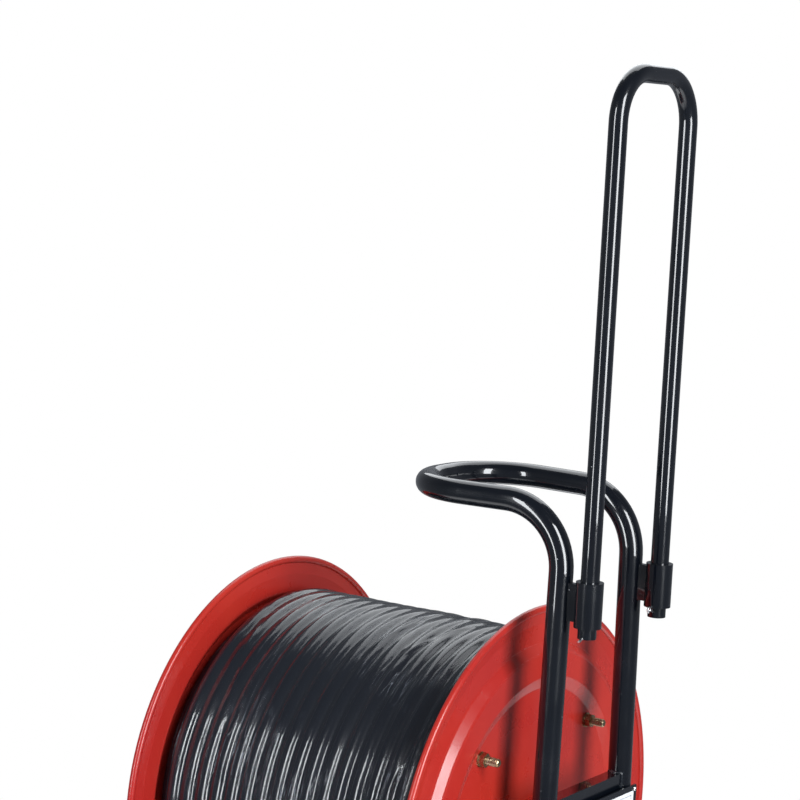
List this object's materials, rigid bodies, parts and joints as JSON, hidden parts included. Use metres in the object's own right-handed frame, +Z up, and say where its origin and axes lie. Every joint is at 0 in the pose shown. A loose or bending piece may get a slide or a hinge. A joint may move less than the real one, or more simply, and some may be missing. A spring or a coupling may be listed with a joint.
{
  "type": "cable reel trolley",
  "caption": "Steel cable drum wound with black cable on a tube-frame trolley, with a loop handle, a telescopic pull handle, wheels, a crank and lidded sockets.",
  "frame": {"origin": "on the floor, under the middle of the whole trolley with its pull handle drawn out", "axes": "+Z up; the drum turns about Y; -Y is the rear, with the pull handle, name panel and wheels; +Y is the front, with the crank and the feet; +X is to the right seen from the rear"},
  "size_m": [0.507, 0.6924, 1.112],
  "materials": {
    "frame_paint": "gloss blue-black enamel",
    "drum_paint": "gloss red enamel",
    "yellow_zinc": "yellow passivated zinc",
    "bright_zinc": "bright zinc plate",
    "shaft_steel": "turned steel",
    "bearing_iron": "dark painted casting",
    "cable_rubber": "black rubber sheath",
    "plug_rubber": "moulded black rubber",
    "tyre_rubber": "solid rubber",
    "rim_plastic": "moulded grey plastic",
    "socket_plastic": "moulded blue plastic",
    "grip_plastic": "moulded black plastic",
    "foot_rubber": "moulded rubber",
    "label": "satin foil label"
  },
  "bodies": {
    "trolley": {"rear_frame_tube": "frame_paint", "front_frame_tube": "frame_paint", "base_tube": "frame_paint", "rear_axle_tube": "frame_paint", "upper_cross_bar": "frame_paint", "lower_cross_bar": "frame_paint", "rear_bearing_plate": "frame_paint", "front_bearing_plate": "frame_paint", "rear_bearing": "bearing_iron", "front_bearing": "bearing_iron", "rear_bearing_bolts": "bright_zinc", "front_bearing_bolts": "bright_zinc", "name_panel": "frame_paint", "name_label": "label", "panel_rivets": "bright_zinc", "guide_sleeve_left": "frame_paint", "guide_sleeve_right": "frame_paint", "wheel_axle": "shaft_steel", "wheel_washers": "bright_zinc", "axle_cap_left": "bright_zinc", "axle_cap_right": "bright_zinc", "foot_post_left": "frame_paint", "foot_post_right": "frame_paint", "foot_left": "foot_rubber", "foot_right": "foot_rubber"},
    "drum": {"drum_shaft": "shaft_steel", "near_flange": "drum_paint", "far_flange": "drum_paint", "drum_barrel": "drum_paint", "near_hub": "drum_paint", "far_hub": "drum_paint", "near_hub_screws": "yellow_zinc", "far_hub_screws": "yellow_zinc", "tie_rod_1": "yellow_zinc", "tie_rod_2": "yellow_zinc", "tie_rod_3": "yellow_zinc", "tie_rod_4": "yellow_zinc", "tie_nuts_near": "yellow_zinc", "tie_nuts_far": "yellow_zinc", "cable_winding": "cable_rubber", "cable_tail": "cable_rubber", "cable_plug": "plug_rubber", "socket_upper": "socket_plastic", "socket_lower": "socket_plastic", "crank_arm": "frame_paint", "crank_screw": "bright_zinc", "crank_pin": "shaft_steel"},
    "grip": {"crank_grip": "grip_plastic"},
    "handle": {"pull_handle": "frame_paint", "cotter_pin_left": "bright_zinc", "cotter_pin_right": "bright_zinc"},
    "wheel_left": {"tyre_left": "tyre_rubber", "rim_left": "rim_plastic"},
    "wheel_right": {"tyre_right": "tyre_rubber", "rim_right": "rim_plastic"},
    "upper_lid": {"socket_lid_upper": "socket_plastic"},
    "lower_lid": {"socket_lid_lower": "socket_plastic"},
    "drum_lock": {"lock_knob": "grip_plastic"}
  },
  "joints": [
    {"name": "drum_spin", "type": "hinge", "parent": "trolley", "child": "drum", "pos_m": [0, -0.03325, 0.3], "axis": [0, 1, 0], "continuous": true},
    {"name": "crank_grip_spin", "type": "hinge", "parent": "drum", "child": "grip", "pos_m": [0, 0.29175, 0.15], "axis": [0, 1, 0], "continuous": true},
    {"name": "handle_slide", "type": "slide", "parent": "trolley", "child": "handle", "axis": [0, 0, 1], "range_m": [-0.44, 0]},
    {"name": "wheel_left_spin", "type": "hinge", "parent": "trolley", "child": "wheel_left", "pos_m": [-0.2149, -0.26625, 0.08], "axis": [1, 0, 0], "continuous": true},
    {"name": "wheel_right_spin", "type": "hinge", "parent": "trolley", "child": "wheel_right", "pos_m": [0.2149, -0.26625, 0.08], "axis": [1, 0, 0], "continuous": true},
    {"name": "upper_lid_hinge", "type": "hinge", "parent": "drum", "child": "upper_lid", "pos_m": [0, 0.15605, 0.4283], "axis": [1, 0, 0], "range_deg": [0, 90], "stiffness_Nm_per_rad": 0.02, "springref_deg": -22.92},
    {"name": "lower_lid_hinge", "type": "hinge", "parent": "drum", "child": "lower_lid", "pos_m": [0, 0.15605, 0.2323], "axis": [1, 0, 0], "range_deg": [0, 90], "stiffness_Nm_per_rad": 0.02, "springref_deg": -22.92},
    {"name": "lock_knob_turn", "type": "hinge", "parent": "trolley", "child": "drum_lock", "pos_m": [0, 0.19625, 0.255], "axis": [0, 0, 1], "range_deg": [0, 360]}
  ]
}
